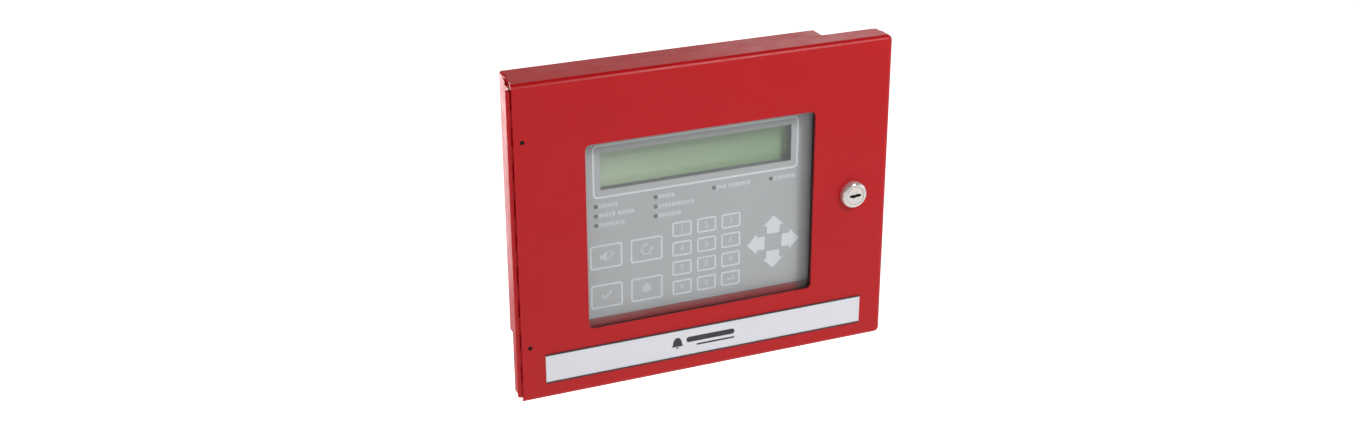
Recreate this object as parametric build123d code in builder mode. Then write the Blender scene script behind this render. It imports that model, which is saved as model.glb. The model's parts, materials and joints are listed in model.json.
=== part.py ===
from build123d import *
import os

# Fire alarm control panel: a semi-flush wall cabinet with a hinged, keyed, windowed door.
#
# +X is right, +Z is up and the door faces -Y. The origin is the centre of the cabinet's
# rear face. A height is a distance from that rear face towards the door, so a sketch at
# height h lies on Plane.XZ.offset(h) and grows forwards when it is extruded.
# Places on the front are given from the door's lower left corner, and at() turns them
# into sketch coordinates.

# ---- driving dimensions, millimetres ----------------------------------------------------

# cabinet
TOTAL_DEPTH = 80.0
BOX_W, BOX_H = 245.6, 202.8
BOX_SHEET = 1.2
DOOR_SHIFT = 3.05  # the door's centre lies this far right of the box's centre
BOX_CORNER_R = 2.0

# door
DOOR_W, DOOR_H = 283.5, 235.5
LOWER_EDGE = 2.15  # heights on the front are from a line this far above the door's lower edge
DOOR_SHEET = 1.5
FLANGE_DEPTH = 20.0
BEND_R = 4.0
FLANGE_START = 1.3  # gap left of the top and bottom flanges
FLANGE_CORNER_R = 8.0
DOOR_GAP = 1.0  # between the door's flanges and the frame's walls

# window and name plate, as x and z ranges on the door
WINDOW_X = (49.9, 223.3)
WINDOW_Z = (46.1, 184.5)
WINDOW_R = 4.0
GASKET_T = 2.0
PANE_T = 2.5
PANE_LAP = 7.0
LABEL_X = (17.0, 264.5)
LABEL_Z = (10.7, 32.2)
LABEL_T = 0.3

# hinge
HINGE_X = -1.4  # barrel centre, from the door's left edge
KNUCKLE_R = 1.9
PIN_R = 0.9
PIN_CLEARANCE = 0.05
LEAF_T = 1.0
HINGE_Z = (1.9, 229.3)
KNUCKLES = 18
KNUCKLE_GAP = 0.2
DOOR_LEAF_X = (0.9, 13.0)
HINGE_SCREW_X = 6.0
HINGE_SCREW_Z = (40.0, 193.1)
HINGE_SCREW_R = 1.5
HOLE_GAP = 0.1
HINGE_SCREW_HEAD = (2.5, 1.2)  # radius and height of the head inside the door

# lock
LOCK_AT = (255.0, 116.5)
LOCK_HEAD_R = 9.9
LOCK_HEAD_T = 5.0
LOCK_BARREL_R = 8.0
LOCK_BARREL_LENGTH = 12.5
PLUG_FACE_R = 6.9
PLUG_R = 6.0
PLUG_CLEARANCE = 0.05
HEAD_RIM_R = 2.4
FACE_RECESS = 1.6
FACE_PROUD = 0.1  # the plug's face stands this far out of the head
FACE_EDGE = 0.4
NUT_T = 3.0
NUT_R = 10.5
KEYWAY = (9.4, 2.1)
KEYWAY_DEPTH = 9.0
CAM_T = 2.2
CAM_LENGTH = 19.0
CAM_W = 12.0
CAM_SCREW_R = 2.0
CAM_SCREW_HEAD = (4.0, 1.8)
CAM_SCREW_BITE = 5.0
STRIKE_SHEET = 1.5
STRIKE_REACH = 11.7
STRIKE_LENGTH = 24.0
STRIKE_FOOT = 63.0
STRIKE_LIP = (68.9, 70.4)
STRIKE_SCREW_PITCH = 18.0

# inner panel and keypad
PLATE_X = (3.5, 240.5)
PLATE_HALF_H = 98.0
PLATE_HEIGHT = 66.0
PLATE_SHEET = 1.2
FOOT_REACH = 12.0
PLATE_CUT_GAP = 1.0
FOOT_SCREW_X = 140.0
FOOT_SCREW_PITCH = 90.0
FOOT_SCREW_SPREAD = 213.0
FOOT_SCREW_HEAD = (2.8, 1.9)
OVERLAY_T = 1.0
OVERLAY_X = (46.0, 226.8)
OVERLAY_Z = (47.8, 190.0)
CAP_T = 0.5
KEY_TRAVEL = 0.4
KEY_GAP = 0.12
PLUNGER_R = 2.2
NUMBER_KEY = (15.1, 11.5)
NUMBER_KEY_R = 1.6
NUMBER_KEY_1 = (125.5, 106.0)
NUMBER_PITCH = (19.05, 15.24)
FUNCTION_KEY = (24.3, 18.5)
FUNCTION_KEY_R = 2.0
FUNCTION_KEY_1 = (67.8, 94.6)
FUNCTION_PITCH = 30.48
ARROWS_AT = (197.5, 83.3)
ARROW_TIP, ARROW_NECK, ARROW_TAIL = 21.0, 13.0, 6.8  # distances from the cluster's centre
ARROW_HEAD_W, ARROW_STEM_W = 16.5, 10.4
LED_COLUMNS = (60.8, 105.4, 150.0, 194.6)
LED_TOP_Z = 133.4
LED_PITCH = 7.2
LED_ROWS = (3, 3, 1, 1)
LED_R = 1.5
LED_RISE = 0.25  # a lamp's flat top stands this far out of the overlay

# display
DISPLAY_AT = (137.4, 158.9)
DISPLAY_WINDOW = (145.8, 27.9)
DISPLAY_VIEW = (147.0, 29.5)
DISPLAY_BEZEL = (156.0, 42.0)
DISPLAY_BOARD = (170.0, 54.0)
DISPLAY_SPACERS = (163.0, 40.0)
BEZEL_SHEET = 0.8
BEZEL_TOP = 60.2
GLASS_T = 2.5
GLASS_LAP = (4.0, 6.0)  # glass wider and higher than the view

# boards and wiring
BOARD_T = 1.6
BOARD_HOLE_EDGE = 5.0
BOARD_SCREW_HEAD = (2.6, 1.8)
BOARD_SCREW_BITE = 6.0
KEY_BOARD_X = (50.0, 222.0)
KEY_BOARD_Z = (50.0, 135.8)
KEY_BOARD_SPACERS = (164.0, 78.0)
KEY_BOARD_HEIGHT = 59.4
SWITCH_BODY = (6.0, 2.2)  # width and height
SWITCH_BUTTON = (1.7, 0.8)  # radius and height
DISPLAY_BOARD_HEIGHT = 49.6
MAIN_BOARD = (170.0, 110.0)
MAIN_BOARD_AT = (0.0, 10.0)
MAIN_BOARD_HEIGHT = 9.2
CABLE_ENTRY_R = 11.1
CABLE_ENTRY_AT = (-70.0, -72.0)
WALL_SCREW_R = 2.75
WALL_SCREW_SPACING = (210.0, 170.0)
KNOCKOUT_PITCH = 75.0
KNOCKOUT_SCORE = (0.7, 0.5)  # width and depth of the scored ring
M3_R = 1.5
M3_SHANK_R = 1.45
M3_CLEARANCE_R = 1.7
SPACER_R = 2.3

# ---- worked-out places ------------------------------------------------------------------

DOOR_LEFT = DOOR_SHIFT - DOOR_W / 2
DOOR_RIGHT = DOOR_SHIFT + DOOR_W / 2
DOOR_TOP = DOOR_H / 2
DOOR_BACK = TOTAL_DEPTH - DOOR_SHEET
TRIM_HEIGHT = TOTAL_DEPTH - FLANGE_DEPTH  # the frame's rear face, which meets the wall
FRAME_FLOOR = TRIM_HEIGHT + BOX_SHEET
FRAME_TOP = DOOR_TOP - DOOR_SHEET - DOOR_GAP
FRAME_RIGHT = DOOR_RIGHT - DOOR_SHEET - DOOR_GAP
FRAME_LEFT = DOOR_LEFT - 0.2
FRAME_WALL_HEIGHT = 74.6
LEFT_WALL_TOP = DOOR_TOP - 0.4  # the frame's left wall is as long as the door is high
NOTCH_HEIGHT = 66.0  # above this the left wall is cut back at both ends, clear of the flanges
NOTCH_LENGTH = 3.2
OVERLAY_REAR = PLATE_HEIGHT + PLATE_SHEET
OVERLAY_FRONT = OVERLAY_REAR + OVERLAY_T
CAP_REAR = OVERLAY_FRONT - CAP_T
KEY_BOARD_TOP = KEY_BOARD_HEIGHT + BOARD_T
SWITCH_TOP = KEY_BOARD_TOP + SWITCH_BODY[1] + SWITCH_BUTTON[1]
PLUNGER_REAR = SWITCH_TOP + KEY_TRAVEL + 0.1
DISPLAY_BOARD_TOP = DISPLAY_BOARD_HEIGHT + BOARD_T
GLASS_TOP = BEZEL_TOP - BEZEL_SHEET
MAIN_BOARD_TOP = MAIN_BOARD_HEIGHT + BOARD_T
PANE_TOP = DOOR_BACK - GASKET_T
PANE_REAR = PANE_TOP - PANE_T
HINGE_HEIGHT = DOOR_BACK - KNUCKLE_R
HINGE_AXIS_X = DOOR_LEFT + HINGE_X
LOCK_REAR = TOTAL_DEPTH - LOCK_BARREL_LENGTH
HEAD_FRONT = TOTAL_DEPTH + LOCK_HEAD_T
PLUG_REAR = LOCK_REAR - FACE_PROUD
CAM_HEIGHT = PLUG_REAR - CAM_T
STRIKE_WALL_X = FRAME_RIGHT - BOX_SHEET
FOOT_MIDDLE = (DOOR_LEFT + FOOT_SCREW_X, 0)


def at(x, z):
    """A place on the front, from the door's left edge and the line above its lower edge."""
    return (DOOR_LEFT + x, z + LOWER_EDGE - DOOR_H / 2)


def level(height):
    """The plane at a height above the rear face; it faces the door's side."""
    return Plane.XZ.offset(height)


def middle(x_range, z_range):
    """The centre of a rectangle that is given as ranges on the front."""
    return at(sum(x_range) / 2, sum(z_range) / 2)


def span(limits):
    """The length between two limits."""
    return limits[1] - limits[0]


pieces = {}

# ---- cabinet ----------------------------------------------------------------------------

with BuildPart() as back_box:
    with BuildSketch(level(0)):
        RectangleRounded(BOX_W, BOX_H, BOX_CORNER_R)
    extrude(amount=FRAME_FLOOR)
    with BuildSketch(level(BOX_SHEET)):
        RectangleRounded(BOX_W - 2 * BOX_SHEET, BOX_H - 2 * BOX_SHEET, BOX_CORNER_R - BOX_SHEET)
    extrude(amount=FRAME_FLOOR, mode=Mode.SUBTRACT)
    with BuildSketch(level(0)):
        with GridLocations(*WALL_SCREW_SPACING, 2, 2):
            Circle(WALL_SCREW_R)
        with Locations(CABLE_ENTRY_AT):
            Circle(CABLE_ENTRY_R)
    extrude(amount=BOX_SHEET, mode=Mode.SUBTRACT)
    # knockouts for conduit, scored in the top and bottom walls
    for wall_z, inward in ((BOX_H / 2, -1), (-BOX_H / 2, 1)):
        with BuildSketch(Plane.XY.offset(wall_z)):
            with Locations((0, -TRIM_HEIGHT / 2)):
                with GridLocations(KNOCKOUT_PITCH, 1, 3, 1):
                    Circle(CABLE_ENTRY_R)
                    Circle(CABLE_ENTRY_R - KNOCKOUT_SCORE[0], mode=Mode.SUBTRACT)
        extrude(amount=KNOCKOUT_SCORE[1] * inward, mode=Mode.SUBTRACT)
pieces["back_box"] = back_box

frame_w = FRAME_RIGHT - FRAME_LEFT
frame_mid = (FRAME_LEFT + FRAME_RIGHT) / 2

with BuildPart() as front_frame:
    with BuildSketch(level(TRIM_HEIGHT)):
        with Locations((frame_mid, 0)):
            Rectangle(frame_w, 2 * FRAME_TOP)
    extrude(amount=FRAME_WALL_HEIGHT - TRIM_HEIGHT)
    with BuildSketch(level(FRAME_FLOOR)):
        with Locations((frame_mid, 0)):
            Rectangle(frame_w - 2 * BOX_SHEET, 2 * (FRAME_TOP - BOX_SHEET))
    extrude(amount=TRIM_HEIGHT, mode=Mode.SUBTRACT)
    # the left wall reaches the door's full height
    with BuildSketch(level(TRIM_HEIGHT)):
        with Locations((FRAME_LEFT + BOX_SHEET / 2, 0)):
            Rectangle(BOX_SHEET, 2 * LEFT_WALL_TOP)
    extrude(amount=FRAME_WALL_HEIGHT - TRIM_HEIGHT)
    with BuildSketch(level(NOTCH_HEIGHT)):
        with Locations((FRAME_LEFT, DOOR_TOP), (FRAME_LEFT, -DOOR_TOP)):
            Rectangle(2 * BOX_SHEET, 2 * NOTCH_LENGTH)
    extrude(amount=TRIM_HEIGHT, mode=Mode.SUBTRACT)
    # the box's walls pass through the frame and end flush with its floor
    with BuildSketch(level(TRIM_HEIGHT)):
        RectangleRounded(BOX_W, BOX_H, BOX_CORNER_R)
    extrude(amount=BOX_SHEET, mode=Mode.SUBTRACT)
    # holes for the inner panel's feet and for the strike
    with BuildSketch(level(TRIM_HEIGHT)):
        with Locations(FOOT_MIDDLE):
            with GridLocations(FOOT_SCREW_PITCH, FOOT_SCREW_SPREAD, 3, 2):
                Circle(M3_R)
    extrude(amount=BOX_SHEET, mode=Mode.SUBTRACT)
    with BuildSketch(Plane.YZ.offset(FRAME_RIGHT - BOX_SHEET)):
        with Locations((-PLATE_HEIGHT, 0)):
            with GridLocations(1, STRIKE_SCREW_PITCH, 1, 2):
                Circle(M3_R)
    extrude(amount=BOX_SHEET, mode=Mode.SUBTRACT)
pieces["front_frame"] = front_frame

# ---- door -------------------------------------------------------------------------------

with BuildPart() as door_cavity:
    with BuildSketch(level(TRIM_HEIGHT)):
        with Locations((DOOR_SHIFT - DOOR_SHEET / 2 - 5, 0)):
            Rectangle(DOOR_W - DOOR_SHEET + 10, DOOR_H - 2 * DOOR_SHEET)
    extrude(amount=FLANGE_DEPTH - DOOR_SHEET)
    bends = door_cavity.faces().sort_by(Axis.Y)[0].edges().sort_by(Axis.X)[1:]
    corners = door_cavity.edges().filter_by(Axis.Y).group_by(Axis.X)[-1]
    fillet(bends + corners, radius=BEND_R - DOOR_SHEET)

with BuildPart() as door_panel:
    with BuildSketch(level(TRIM_HEIGHT)):
        with Locations((DOOR_SHIFT, 0)):
            Rectangle(DOOR_W, DOOR_H)
    extrude(amount=FLANGE_DEPTH)
    bends = door_panel.faces().sort_by(Axis.Y)[0].edges().sort_by(Axis.X)[1:]
    corners = door_panel.edges().filter_by(Axis.Y).group_by(Axis.X)[-1]
    fillet(bends + corners, radius=BEND_R)
    add(door_cavity.part, mode=Mode.SUBTRACT)
    # the flanges stop short of the hinge
    with BuildSketch(level(TRIM_HEIGHT)):
        with Locations((DOOR_LEFT, 0)):
            Rectangle(2 * FLANGE_START, DOOR_H)
    extrude(amount=FLANGE_DEPTH - BEND_R, mode=Mode.SUBTRACT)
    # rounded rear corners of the top and bottom flanges, then of the right flange
    for z_side in (-1, 1):
        with BuildSketch(Plane.XY.offset(z_side * DOOR_TOP)):
            with Locations((DOOR_RIGHT, -TRIM_HEIGHT)):
                Rectangle(2 * FLANGE_CORNER_R, 2 * FLANGE_CORNER_R)
            with Locations((DOOR_RIGHT - FLANGE_CORNER_R, -TRIM_HEIGHT - FLANGE_CORNER_R)):
                Circle(FLANGE_CORNER_R, mode=Mode.SUBTRACT)
        extrude(amount=BEND_R, both=True, mode=Mode.SUBTRACT)
        with BuildSketch(Plane.YZ.offset(DOOR_RIGHT)):
            with Locations((-TRIM_HEIGHT, z_side * DOOR_TOP)):
                Rectangle(2 * FLANGE_CORNER_R, 2 * FLANGE_CORNER_R)
            with Locations((-TRIM_HEIGHT - FLANGE_CORNER_R, z_side * (DOOR_TOP - FLANGE_CORNER_R))):
                Circle(FLANGE_CORNER_R, mode=Mode.SUBTRACT)
        extrude(amount=BEND_R, both=True, mode=Mode.SUBTRACT)
    # window, lock hole and hinge screw holes
    with BuildSketch(level(DOOR_BACK)):
        with Locations(middle(WINDOW_X, WINDOW_Z)):
            RectangleRounded(span(WINDOW_X), span(WINDOW_Z), WINDOW_R)
        with Locations(at(*LOCK_AT)):
            Circle(LOCK_BARREL_R + 2 * HOLE_GAP)
        with Locations(*[at(HINGE_SCREW_X, z) for z in HINGE_SCREW_Z]):
            Circle(HINGE_SCREW_R + HOLE_GAP)
    extrude(amount=DOOR_SHEET, mode=Mode.SUBTRACT)
pieces["door_panel"] = door_panel

with BuildPart() as window_gasket:
    with BuildSketch(level(PANE_TOP)):
        with Locations(middle(WINDOW_X, WINDOW_Z)):
            RectangleRounded(span(WINDOW_X) + 2 * PANE_LAP, span(WINDOW_Z) + 2 * PANE_LAP, WINDOW_R)
            RectangleRounded(span(WINDOW_X), span(WINDOW_Z), WINDOW_R, mode=Mode.SUBTRACT)
    extrude(amount=GASKET_T)
pieces["window_gasket"] = window_gasket

with BuildPart() as window_pane:
    with BuildSketch(level(PANE_REAR)):
        with Locations(middle(WINDOW_X, WINDOW_Z)):
            RectangleRounded(span(WINDOW_X) + 2 * PANE_LAP, span(WINDOW_Z) + 2 * PANE_LAP, WINDOW_R)
    extrude(amount=PANE_T)
pieces["window_pane"] = window_pane

with BuildPart() as label_strip:
    with BuildSketch(level(TOTAL_DEPTH)):
        with Locations(middle(LABEL_X, LABEL_Z)):
            Rectangle(span(LABEL_X), span(LABEL_Z))
    extrude(amount=LABEL_T)
pieces["label_strip"] = label_strip

# ---- hinge: two leaves with alternate knuckles on one pin -------------------------------

knuckle_pitch = span(HINGE_Z) / KNUCKLES
knuckle_length = knuckle_pitch - KNUCKLE_GAP
hinge_bottom = at(0, HINGE_Z[0])[1]
door_knuckles = [hinge_bottom + knuckle_pitch * (i + 0.5) for i in range(0, KNUCKLES, 2)]
frame_knuckles = [hinge_bottom + knuckle_pitch * (i + 0.5) for i in range(1, KNUCKLES, 2)]
hinge_mid = at(0, sum(HINGE_Z) / 2)[1]
leaf_length = span(HINGE_Z)

with BuildPart() as hinge_leaf_door:
    leaf_mid_x = DOOR_LEFT + sum(DOOR_LEAF_X) / 2
    leaf_mid_y = -(DOOR_BACK - LEAF_T / 2)
    with Locations((leaf_mid_x, leaf_mid_y, hinge_mid)):
        Box(span(DOOR_LEAF_X), LEAF_T, leaf_length)
    tab_end = DOOR_LEFT + DOOR_LEAF_X[0]
    for z in door_knuckles:
        with Locations(((HINGE_AXIS_X + tab_end) / 2, leaf_mid_y, z)):
            Box(tab_end - HINGE_AXIS_X, LEAF_T, knuckle_length)
        with Locations((HINGE_AXIS_X, -HINGE_HEIGHT, z)):
            Cylinder(KNUCKLE_R, knuckle_length)
    with Locations((HINGE_AXIS_X, -HINGE_HEIGHT, hinge_mid)):
        Cylinder(PIN_R + PIN_CLEARANCE, leaf_length, mode=Mode.SUBTRACT)
    with BuildSketch(level(DOOR_BACK - LEAF_T)):
        with Locations(*[at(HINGE_SCREW_X, z) for z in HINGE_SCREW_Z]):
            Circle(HINGE_SCREW_R + HOLE_GAP)
    extrude(amount=LEAF_T, mode=Mode.SUBTRACT)
pieces["hinge_leaf_door"] = hinge_leaf_door

with BuildPart() as hinge_leaf_frame:
    leaf_x = FRAME_LEFT + BOX_SHEET + LEAF_T / 2
    tab_y = -(HINGE_HEIGHT - KNUCKLE_R + LEAF_T / 2)
    leaf_front = HINGE_HEIGHT - KNUCKLE_R + LEAF_T
    with Locations((leaf_x, -(FRAME_FLOOR + leaf_front) / 2, 0)):
        Box(LEAF_T, leaf_front - FRAME_FLOOR, 2 * (FRAME_TOP - BOX_SHEET - 0.3))
    tab_end = FRAME_LEFT + BOX_SHEET + LEAF_T
    for z in frame_knuckles:
        with Locations(((HINGE_AXIS_X + tab_end) / 2, tab_y, z)):
            Box(tab_end - HINGE_AXIS_X, LEAF_T, knuckle_length)
        with Locations((HINGE_AXIS_X, -HINGE_HEIGHT, z)):
            Cylinder(KNUCKLE_R, knuckle_length)
    with Locations((HINGE_AXIS_X, -HINGE_HEIGHT, hinge_mid)):
        Cylinder(PIN_R + PIN_CLEARANCE, leaf_length, mode=Mode.SUBTRACT)
pieces["hinge_leaf_frame"] = hinge_leaf_frame

with BuildPart() as hinge_pin:
    with Locations((HINGE_AXIS_X, -HINGE_HEIGHT, hinge_mid)):
        Cylinder(PIN_R, leaf_length)
    fillet(hinge_pin.edges().filter_by(GeomType.CIRCLE), radius=0.4)
pieces["hinge_pin"] = hinge_pin

with BuildPart() as hinge_screws:
    with BuildSketch(level(DOOR_BACK - LEAF_T - HINGE_SCREW_HEAD[1])):
        with Locations(*[at(HINGE_SCREW_X, z) for z in HINGE_SCREW_Z]):
            Circle(HINGE_SCREW_HEAD[0])
    extrude(amount=HINGE_SCREW_HEAD[1])
    with BuildSketch(level(DOOR_BACK - LEAF_T)):
        with Locations(*[at(HINGE_SCREW_X, z) for z in HINGE_SCREW_Z]):
            Circle(HINGE_SCREW_R)
    extrude(amount=DOOR_SHEET + LEAF_T - 0.2)
pieces["hinge_screws"] = hinge_screws

# ---- lock -------------------------------------------------------------------------------

lock_centre = at(*LOCK_AT)

with BuildPart() as lock_housing:
    with BuildSketch(level(LOCK_REAR)):
        with Locations(lock_centre):
            Circle(LOCK_BARREL_R)
    extrude(amount=LOCK_BARREL_LENGTH)
    with BuildSketch(level(TOTAL_DEPTH)):
        with Locations(lock_centre):
            Circle(LOCK_HEAD_R)
    extrude(amount=LOCK_HEAD_T)
    rim = lock_housing.faces().sort_by(Axis.Y)[0].edges()
    fillet(rim, radius=HEAD_RIM_R)
    with BuildSketch(level(LOCK_REAR)):
        with Locations(lock_centre):
            Circle(PLUG_R + PLUG_CLEARANCE)
    extrude(amount=LOCK_BARREL_LENGTH + LOCK_HEAD_T, mode=Mode.SUBTRACT)
    with BuildSketch(level(HEAD_FRONT - FACE_RECESS)):
        with Locations(lock_centre):
            Circle(PLUG_FACE_R + PLUG_CLEARANCE)
    extrude(amount=FACE_RECESS, mode=Mode.SUBTRACT)
pieces["lock_housing"] = lock_housing

with BuildPart() as lock_nut:
    with BuildSketch(level(DOOR_BACK - NUT_T)):
        with Locations(lock_centre):
            RegularPolygon(NUT_R, 6, major_radius=False)
            Circle(LOCK_BARREL_R + PLUG_CLEARANCE, mode=Mode.SUBTRACT)
    extrude(amount=NUT_T)
pieces["lock_nut"] = lock_nut

with BuildPart() as lock_plug:
    with BuildSketch(level(PLUG_REAR)):
        with Locations(lock_centre):
            Circle(PLUG_R)
    extrude(amount=HEAD_FRONT - FACE_RECESS + FACE_PROUD - PLUG_REAR)
    with BuildSketch(level(HEAD_FRONT - FACE_RECESS + FACE_PROUD)):
        with Locations(lock_centre):
            Circle(PLUG_FACE_R)
    extrude(amount=FACE_RECESS)
    plug_rim = lock_plug.faces().sort_by(Axis.Y)[0].edges()
    chamfer(plug_rim, length=FACE_EDGE)
    # the keyway, with a ward step on each side
    with BuildSketch(level(HEAD_FRONT + FACE_PROUD)):
        with Locations(lock_centre):
            SlotOverall(*KEYWAY)
            with Locations((-1.5, -1.0)):
                Rectangle(2.6, 1.2)
            with Locations((1.6, 1.0)):
                Rectangle(2.2, 1.0)
    extrude(amount=-KEYWAY_DEPTH, mode=Mode.SUBTRACT)
    # tapped hole for the cam's screw
    with BuildSketch(level(PLUG_REAR)):
        with Locations(lock_centre):
            Circle(CAM_SCREW_R + PLUG_CLEARANCE)
    extrude(amount=CAM_SCREW_BITE + 1, mode=Mode.SUBTRACT)
pieces["lock_plug"] = lock_plug

with BuildPart() as lock_cam:
    with BuildSketch(level(CAM_HEIGHT)):
        with Locations((lock_centre[0], lock_centre[1] - (CAM_LENGTH - CAM_W / 2) / 2)):
            SlotOverall(CAM_LENGTH + CAM_W / 2, CAM_W, rotation=90)
        with Locations(lock_centre):
            Circle(CAM_SCREW_R + PLUG_CLEARANCE, mode=Mode.SUBTRACT)
    extrude(amount=CAM_T)
pieces["lock_cam"] = lock_cam

with BuildPart() as cam_screw:
    with BuildSketch(level(CAM_HEIGHT - CAM_SCREW_HEAD[1])):
        with Locations(lock_centre):
            Circle(CAM_SCREW_HEAD[0])
    extrude(amount=CAM_SCREW_HEAD[1])
    with BuildSketch(level(CAM_HEIGHT)):
        with Locations(lock_centre):
            Circle(CAM_SCREW_R)
    extrude(amount=CAM_T + CAM_SCREW_BITE)
    # cross recess in the head
    with BuildSketch(level(CAM_HEIGHT - CAM_SCREW_HEAD[1])):
        with Locations(lock_centre):
            Rectangle(5, 0.9)
            Rectangle(0.9, 5)
    extrude(amount=1.0, mode=Mode.SUBTRACT)
pieces["cam_screw"] = cam_screw

with BuildPart() as strike_bracket:
    with BuildSketch(Plane.XY.offset(-STRIKE_LENGTH / 2)):
        with BuildLine():
            Polyline(
                (STRIKE_WALL_X, -STRIKE_FOOT),
                (STRIKE_WALL_X, -STRIKE_LIP[1]),
                (STRIKE_WALL_X - STRIKE_REACH, -STRIKE_LIP[1]),
                (STRIKE_WALL_X - STRIKE_REACH, -STRIKE_LIP[0]),
                (STRIKE_WALL_X - STRIKE_SHEET, -STRIKE_LIP[0]),
                (STRIKE_WALL_X - STRIKE_SHEET, -STRIKE_FOOT),
                close=True,
            )
        make_face()
    extrude(amount=STRIKE_LENGTH)
    with BuildSketch(Plane.YZ.offset(STRIKE_WALL_X - STRIKE_SHEET)):
        with Locations((-PLATE_HEIGHT, 0)):
            with GridLocations(1, STRIKE_SCREW_PITCH, 1, 2):
                Circle(M3_R)
    extrude(amount=STRIKE_SHEET, mode=Mode.SUBTRACT)
pieces["strike_bracket"] = strike_bracket

with BuildPart() as strike_screws:
    with BuildSketch(Plane.YZ.offset(STRIKE_WALL_X - STRIKE_SHEET - BOARD_SCREW_HEAD[1])):
        with Locations((-PLATE_HEIGHT, 0)):
            with GridLocations(1, STRIKE_SCREW_PITCH, 1, 2):
                Circle(BOARD_SCREW_HEAD[0])
    extrude(amount=BOARD_SCREW_HEAD[1])
    with BuildSketch(Plane.YZ.offset(STRIKE_WALL_X - STRIKE_SHEET)):
        with Locations((-PLATE_HEIGHT, 0)):
            with GridLocations(1, STRIKE_SCREW_PITCH, 1, 2):
                Circle(M3_SHANK_R)
    extrude(amount=STRIKE_SHEET + BOX_SHEET)
pieces["strike_screws"] = strike_screws

# ---- keys -------------------------------------------------------------------------------


def arrow(turn, gap=0.0):
    """An arrow key's outline, grown by a gap, pointing up and then turned."""
    head = ARROW_HEAD_W / 2 + 2.0 * gap
    stem = ARROW_STEM_W / 2 + gap
    Polygon(
        (0, ARROW_TIP + 1.4 * gap),
        (-head, ARROW_NECK - gap),
        (-stem, ARROW_NECK - gap),
        (-stem, ARROW_TAIL - gap),
        (stem, ARROW_TAIL - gap),
        (stem, ARROW_NECK - gap),
        (head, ARROW_NECK - gap),
        rotation=turn,
    )


def rounded_key(size, radius, gap=0.0):
    """A rectangular key's outline, grown by a gap."""
    RectangleRounded(size[0] + 2 * gap, size[1] + 2 * gap, radius + gap)


NUMBER_NAMES = (("1", "2", "3"), ("4", "5", "6"), ("7", "8", "9"), ("clear", "0", "enter"))
FUNCTION_NAMES = (("silence", "reset"), ("acknowledge", "drill"))
ARROW_TURNS = {"up": 0, "left": 90, "down": 180, "right": 270}

# name: (place of the outline, place of the plunger, outline, its arguments)
keys = {}
for row, names in enumerate(NUMBER_NAMES):
    for column, name in enumerate(names):
        place = at(NUMBER_KEY_1[0] + column * NUMBER_PITCH[0], NUMBER_KEY_1[1] - row * NUMBER_PITCH[1])
        keys["key_" + name] = (place, place, rounded_key, (NUMBER_KEY, NUMBER_KEY_R))
for row, names in enumerate(FUNCTION_NAMES):
    for column, name in enumerate(names):
        place = at(FUNCTION_KEY_1[0] + column * FUNCTION_PITCH, FUNCTION_KEY_1[1] - row * FUNCTION_PITCH)
        keys["key_" + name] = (place, place, rounded_key, (FUNCTION_KEY, FUNCTION_KEY_R))
arrows_centre = at(*ARROWS_AT)
for name, turn in ARROW_TURNS.items():
    arm = Vector(0, (ARROW_TAIL + ARROW_TIP) / 2 - 1.0).rotate(Axis.Z, turn)
    plunger = (arrows_centre[0] + arm.X, arrows_centre[1] + arm.Y)
    keys["key_" + name] = (arrows_centre, plunger, arrow, (turn,))

plunger_places = [plunger for _, plunger, _, _ in keys.values()]

for name, (place, plunger, outline, arguments) in keys.items():
    with BuildPart() as key:
        with BuildSketch(level(CAP_REAR)):
            with Locations(place):
                outline(*arguments)
        extrude(amount=CAP_T)
        with BuildSketch(level(PLUNGER_REAR)):
            with Locations(plunger):
                Circle(PLUNGER_R)
        extrude(amount=CAP_REAR - PLUNGER_REAR)
    pieces[name] = key

# ---- inner panel ------------------------------------------------------------------------

led_places = [
    at(x, LED_TOP_Z - row * LED_PITCH) for x, rows in zip(LED_COLUMNS, LED_ROWS) for row in range(rows)
]
key_board_mid = middle(KEY_BOARD_X, KEY_BOARD_Z)
display_mid = at(*DISPLAY_AT)

with BuildPart() as dead_front_plate:
    profile = [
        (-FRAME_FLOOR, PLATE_HALF_H + FOOT_REACH),
        (-FRAME_FLOOR - PLATE_SHEET, PLATE_HALF_H + FOOT_REACH),
        (-FRAME_FLOOR - PLATE_SHEET, PLATE_HALF_H),
        (-OVERLAY_REAR, PLATE_HALF_H),
        (-OVERLAY_REAR, 0),
        (-PLATE_HEIGHT, 0),
        (-PLATE_HEIGHT, PLATE_HALF_H - PLATE_SHEET),
        (-FRAME_FLOOR, PLATE_HALF_H - PLATE_SHEET),
    ]
    with BuildSketch(Plane.YZ.offset(DOOR_LEFT + PLATE_X[0])):
        Polygon(*profile)
        mirror(about=Plane.XZ)
    extrude(amount=span(PLATE_X))
    with BuildSketch(level(PLATE_HEIGHT)):
        with Locations(display_mid):
            Rectangle(DISPLAY_WINDOW[0] + PLATE_CUT_GAP, DISPLAY_WINDOW[1] + PLATE_CUT_GAP)
        with Locations(*plunger_places):
            Circle(PLUNGER_R + PLATE_CUT_GAP)
        with Locations(*led_places):
            Circle(LED_R + PLATE_CUT_GAP / 2)
    extrude(amount=PLATE_SHEET, mode=Mode.SUBTRACT)
    with BuildSketch(level(FRAME_FLOOR)):
        with Locations(FOOT_MIDDLE):
            with GridLocations(FOOT_SCREW_PITCH, FOOT_SCREW_SPREAD, 3, 2):
                Circle(M3_CLEARANCE_R)
    extrude(amount=PLATE_SHEET, mode=Mode.SUBTRACT)
pieces["dead_front_plate"] = dead_front_plate

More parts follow.
